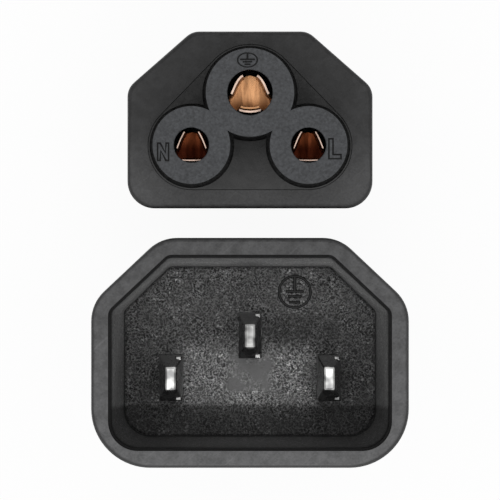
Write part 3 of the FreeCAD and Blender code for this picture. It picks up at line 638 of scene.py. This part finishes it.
def closing_tongue(outline, depth):
    """The plate that closes a sleeve, at a depth under its mouth."""
    shape = bmesh.new()
    mirrored_line(shape, outline)
    level = sleeve_mouth - depth
    reached = depth / (sleeve_mouth - SLEEVE_FOOT)
    flatten(shape, shape.verts[:], 1.0 - (1.0 - SLEEVE_DRAW) * reached, level - TONGUE_SHEET)
    plate = bmesh.ops.contextual_create(shape, geom=shape.edges[:])["faces"]
    pushed = bmesh.ops.extrude_face_region(shape, geom=plate, use_keep_orig=True)["geom"]
    lifted = of_kind(pushed, bmesh.types.BMVert)
    bmesh.ops.translate(shape, verts=lifted, vec=(0.0, 0.0, TONGUE_SHEET))
    return shape


def contact(way, row, finish, arch, rolls, top, sheet, depth):
    """A contact that stands for its node: the node's barrel and neck, a new sleeve and its tongue."""
    node_name = f"connector_{way}_contact"
    low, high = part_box(node_name)
    whole = merged_copy(node_name)
    everything = whole.verts[:] + whole.edges[:] + whole.faces[:]
    cut = bmesh.ops.bisect_plane(
        whole, geom=everything, plane_co=(0.0, 0.0, NECK_CUT), plane_no=(0.0, 0.0, 1.0),
        clear_outer=True,
    )["geom_cut"]
    bmesh.ops.contextual_create(whole, geom=of_kind(cut, bmesh.types.BMEdge))
    for shape in (sleeve_strip([arch, *rolls], sheet), closing_tongue([*arch, top], depth)):
        bmesh.ops.translate(shape, verts=shape.verts, vec=((low.x + high.x) / 2, row, 0.0))
        added = bpy.data.meshes.new("added")
        shape.to_mesh(added)
        shape.free()
        whole.from_mesh(added)
        bpy.data.meshes.remove(added)
    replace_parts(settle(f"{node_name}_soft", whole, [finish]), node_name)


contact("line", LIVE_ROW, live_copper, **LIVE_FORM)
contact("neutral", LIVE_ROW, live_copper, **LIVE_FORM)
contact("earth", EARTH_ROW, earth_copper, **EARTH_FORM)

# %% [markdown]
# ## Flats on the pins' shoulders
# Where the taper of each pin begins, the press has left two small flats on one side.
# They are level, so they mirror the light from above while the taper round them stays dark.
# Each is a small block sunk into the taper, with its upper edges bevelled.

# %% Shoulder flats
FLAT_ASIDE = 0.68 * MM
FLAT_OUT = 1.78 * MM
FLAT_SIZE = (0.50 * MM, 0.36 * MM, 0.80 * MM)
FLAT_BELOW_TIP = 1.12 * MM
FLAT_EDGE = 0.08 * MM

flat_middle = pin_tip - FLAT_BELOW_TIP - FLAT_SIZE[2] / 2
for way in ("line", "neutral", "earth"):
    low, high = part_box(f"plug_{way}_pin")
    middle = (low + high) / 2
    shape = bmesh.new()
    for side in (-1.0, 1.0):
        block = bmesh.ops.create_cube(shape, size=1.0)["verts"]
        bmesh.ops.scale(shape, verts=block, vec=FLAT_SIZE)
        place = (middle.x + FLAT_ASIDE, middle.y + side * FLAT_OUT, flat_middle)
        bmesh.ops.translate(shape, verts=block, vec=place)
    soften(shape, FLAT_EDGE, flat_middle)
    settle(f"plug_{way}_pin_flats", shape, [flat_nickel])

# %% [markdown]
# ## Moulded marks
# Fine raised strokes tell the ways apart: the letters L and N beside two of the connector's entries,
# and the protective-earth sign beside its third entry and on the plug's floor.
# A stroke is a flat outline pushed up through the surface, with its upper edge drawn in.
# Its sloping sides are painted near black, as shade, so they show as a dark line round it. The ring is a
# small section spun round.

# %% Stroke helpers
SINK = 0.03 * MM
STROKE_FOOT = 0.01 * MM
STROKE_RISE = 0.06 * MM
RING_STEPS = 48
# Places of a mark's two finishes in its list.
TOP_FINISH, SLOPE_FINISH = 0, 1


def raised(shape, corners, level, slope):
    """Adds a flat-topped stroke over an outline of corners, with its own finish on the slope."""
    base = [shape.verts.new((x, y, level - SINK)) for x, y in corners]
    flat = shape.faces.new(base)
    pushed = bmesh.ops.extrude_face_region(shape, geom=[flat], use_keep_orig=True)["geom"]
    top = of_kind(pushed, bmesh.types.BMFace)
    lifted = of_kind(pushed, bmesh.types.BMVert)
    bmesh.ops.translate(shape, verts=lifted, vec=(0.0, 0.0, SINK + STROKE_FOOT))
    shape.normal_update()
    upwards = math.copysign(STROKE_RISE - STROKE_FOOT, top[0].normal.z)
    sides = bmesh.ops.inset_region(
        shape, faces=top, thickness=slope, depth=upwards, use_boundary=True, use_even_offset=False,
    )["faces"]
    for side in sides:
        side.material_index = SLOPE_FINISH


def bar(shape, start, end, width, level, slope):
    """Adds a straight raised stroke between two points."""
    start, end = Vector(start), Vector(end)
    along = (end - start).normalized() * width / 2
    aside = Vector((-along.y, along.x))
    corners = [start - aside, end - aside, end + aside, start + aside]
    raised(shape, corners, level, slope)


def ring(shape, middle, radius, width, level, slope, squash):
    """Adds a raised ring, pressed flatter along Y by a squash."""
    low, high = level - SINK, level + STROKE_RISE
    half = width / 2
    section = [(-half, low), (half, low), (half - slope, high), (slope - half, high)]
    loop = [shape.verts.new((radius + out, 0.0, z)) for out, z in section]
    edges = [shape.edges.new((loop[index - 1], loop[index])) for index in range(len(loop))]
    before = set(shape.verts) - set(loop)
    bmesh.ops.spin(
        shape, geom=loop + edges, cent=(0.0, 0.0, 0.0), axis=(0.0, 0.0, 1.0), angle=math.tau,
        steps=RING_STEPS, use_merge=True, use_duplicate=False,
    )
    made = [vert for vert in shape.verts if vert not in before]
    for face in {face for vert in made for face in vert.link_faces}:
        levels = [vert.co.z for vert in face.verts]
        steep = max(levels) - min(levels) > SINK
        face.material_index = SLOPE_FINISH if steep else TOP_FINISH
    bmesh.ops.scale(shape, verts=made, vec=(1.0, squash, 1.0))
    bmesh.ops.translate(shape, verts=made, vec=(*middle, 0.0))


# %% Mark finishes
CLOUD_SIZE = 0.3 * MM
MARK_ROUGHNESS = 0.5


def mark_finish(name, dark, pale):
    """A calm matte finish between two greys, which reads as a mark on a rougher ground."""
    finish = Finish(name, Specular_IOR_Level=0.15)
    cloud = finish.noise(CLOUD_SIZE)
    finish.feed(
        Base_Color=finish.tint(cloud, plain(dark), plain(pale)),
        Roughness=cloud * ROUGH_SWING + MARK_ROUGHNESS,
    )
    print("mark finish", name)
    return finish


# The darker finish is painted shade for the strokes' slopes.
mark_dark = mark_finish("mark_dark", dark=0.002, pale=0.008)
mark_worn = mark_finish("mark_worn", dark=0.04, pale=0.10)

# %% Earth signs
# Each bar is given by its rise and half its length, as shares of the ring's radius.
PLUG_BARS = ((0.03, 0.58), (-0.28, 0.44), (-0.66, 0.36))
CONNECTOR_BARS = ((0.09, 0.76), (-0.25, 0.48), (-0.60, 0.30))
BAR_SHARE = 0.8


def earth_sign(name, middle, level, radius, width, slope, squash, bars, finishes):
    """Ring with a stem and three bars, whose strokes are a little finer."""
    shape = bmesh.new()
    x, y = middle
    ring(shape, middle, radius, width, level, slope, squash)
    stem_foot = y + bars[0][0] * radius * squash
    bar(shape, (x, y + radius * squash), (x, stem_foot), width, level, slope)
    for rise, half_length in bars:
        height = y + rise * radius * squash
        reach = half_length * radius
        bar(shape, (x - reach, height), (x + reach, height), width * BAR_SHARE, level, slope)
    settle(name, shape, finishes)


earth_sign(
    "plug_earth_sign", middle=(3.99 * MM, -3.80 * MM), level=FLOOR_LEVEL, radius=1.40 * MM,
    width=0.30 * MM, slope=0.10 * MM, squash=1.0, bars=PLUG_BARS,
    finishes=[mark_worn, mark_dark],
)
# On this small sign, the tops and the slopes alike are painted shade.
earth_sign(
    "connector_earth_sign", middle=(-0.22 * MM, 16.55 * MM), level=nose_level, radius=0.86 * MM,
    width=0.16 * MM, slope=0.04 * MM, squash=0.72, bars=CONNECTOR_BARS,
    finishes=[mark_dark, mark_dark],
)

# %% Letters
LETTER_SLOPE = 0.20 * MM
LETTER_STROKE = 0.5 * MM


def letter(name, middle, width, height, outline):
    """Raised letter from an outline whose corners are shares of its width and height."""
    shape = bmesh.new()
    left, low = middle[0] - width / 2, middle[1] - height / 2
    corners = [(left + x * width, low + y * height) for x, y in outline]
    raised(shape, corners, nose_level, LETTER_SLOPE)
    settle(name, shape, [nose_satin, mark_dark])


L_MIDDLE = (7.43 * MM, 8.79 * MM)
L_SIZE = (1.2 * MM, 1.88 * MM)
L_STEM = LETTER_STROKE / L_SIZE[0]
L_FOOT = LETTER_STROKE / L_SIZE[1]
L_OUTLINE = [(0, 0), (1, 0), (1, L_FOOT), (L_STEM, L_FOOT), (L_STEM, 1), (0, 1)]
N_MIDDLE = (-7.60 * MM, 8.52 * MM)
N_SIZE = (1.10 * MM, 1.66 * MM)
N_STEM = 0.33
N_OUTLINE = [
    (0, 0), (N_STEM, 0), (N_STEM, 0.5), (1 - N_STEM, 0), (1, 0),
    (1, 1), (1 - N_STEM, 1), (1 - N_STEM, 0.5), (N_STEM, 1), (0, 1),
]
letter("connector_line_letter", L_MIDDLE, *L_SIZE, L_OUTLINE)
letter("connector_neutral_letter", N_MIDDLE, *N_SIZE, N_OUTLINE)

# %% [markdown]
# ## The stage
# The pair stands on a plain white floor. What the camera and mirroring surfaces see of it is mostly
# its own white, so that the narrow gap between the ends stays pale, and the rest keeps the shadow.

# %% Floor
FLOOR_REACH = 4.0
FLOOR_GLOW = 0.93

floor_mesh = bpy.data.meshes.new("floor")
floor_shape = bmesh.new()
bmesh.ops.create_grid(floor_shape, x_segments=1, y_segments=1, size=FLOOR_REACH)
floor_shape.to_mesh(floor_mesh)
floor_shape.free()
floor = bpy.data.objects.new("floor", floor_mesh)
bpy.context.scene.collection.objects.link(floor)

floor_white = Finish("floor_white", Base_Color=(0.9, 0.9, 0.9, 1.0), Roughness=0.9)
camera_ray, glossy_ray, clear_ray = (
    floor_white.node("ShaderNodeLightPath", {}, {}, f"Is {kind} Ray")
    for kind in ("Camera", "Glossy", "Transmission")
)
glow = floor_white.node("ShaderNodeEmission", {}, {"Color": (1.0, 1.0, 1.0, 1.0), "Strength": 1.0})
shown = floor_white.node("ShaderNodeMixShader", {}, {
    0: (camera_ray + glossy_ray + clear_ray) * FLOOR_GLOW,
    1: Field(floor_white, floor_white.shader.outputs[0]),
    2: glow,
})
floor_exit = next(item for item in floor_white.tree.nodes if item.type == "OUTPUT_MATERIAL")
floor_white.tree.links.new(shown.socket, floor_exit.inputs["Surface"])
floor_mesh.materials.append(floor_white.material)
print("floor", FLOOR_REACH, "m each way")

# %% [markdown]
# ## The light
# An even white surround and a wide panel overhead give nearly all the light, so that the pins
# drop no shadows beside them, and the panel is what the metal tips and the copper mirror back.
# A low key lamp from below the picture reaches the shroud's far wall, and not its floor.

# %% World
SURROUND = 0.66

world = bpy.data.worlds.new("surround")
bpy.context.scene.world = world
world.use_nodes = True
surround_nodes = world.node_tree.nodes
background = next(item for item in surround_nodes if item.type == "BACKGROUND")
path = surround_nodes.new("ShaderNodeLightPath")
strength = surround_nodes.new("ShaderNodeMapRange")
strength.inputs["To Min"].default_value = SURROUND
strength.inputs["To Max"].default_value = 1.0
world.node_tree.links.new(path.outputs["Is Camera Ray"], strength.inputs["Value"])
world.node_tree.links.new(strength.outputs[0], background.inputs["Strength"])
background.inputs["Color"].default_value = (1.0, 1.0, 1.0, 1.0)
print("surround", SURROUND, "of white, and white to the camera")

# %% Key lamp and panel
KEY_LEAN = math.radians(52.0)
KEY_AWAY = 0.8
KEY_SIZE = 0.3
KEY_WATTS = 1.5
PANEL_RISE = 1.4
PANEL_SIZE = 1.2
PANEL_WATTS = 5.8


def lamp(name, place, aim, size, watts):
    """A square area lamp turned towards a point."""
    data = bpy.data.lights.new(name, "AREA")
    data.size = size
    data.energy = watts
    made = bpy.data.objects.new(name, data)
    made.location = place
    made.rotation_euler = (Vector(aim) - Vector(place)).to_track_quat("-Z", "Y").to_euler()
    bpy.context.scene.collection.objects.link(made)
    print("lamp", name, tuple(round(value, 3) for value in place), watts, "W")


key_aim = Vector((0.0, plug_middle.y, rim_level))
key_place = key_aim + KEY_AWAY * Vector((0.0, -math.sin(KEY_LEAN), math.cos(KEY_LEAN)))
lamp("key", key_place, key_aim, KEY_SIZE, KEY_WATTS)
lamp("panel", (0.0, 0.0, PANEL_RISE), (0.0, 0.0, 0.0), PANEL_SIZE, PANEL_WATTS)
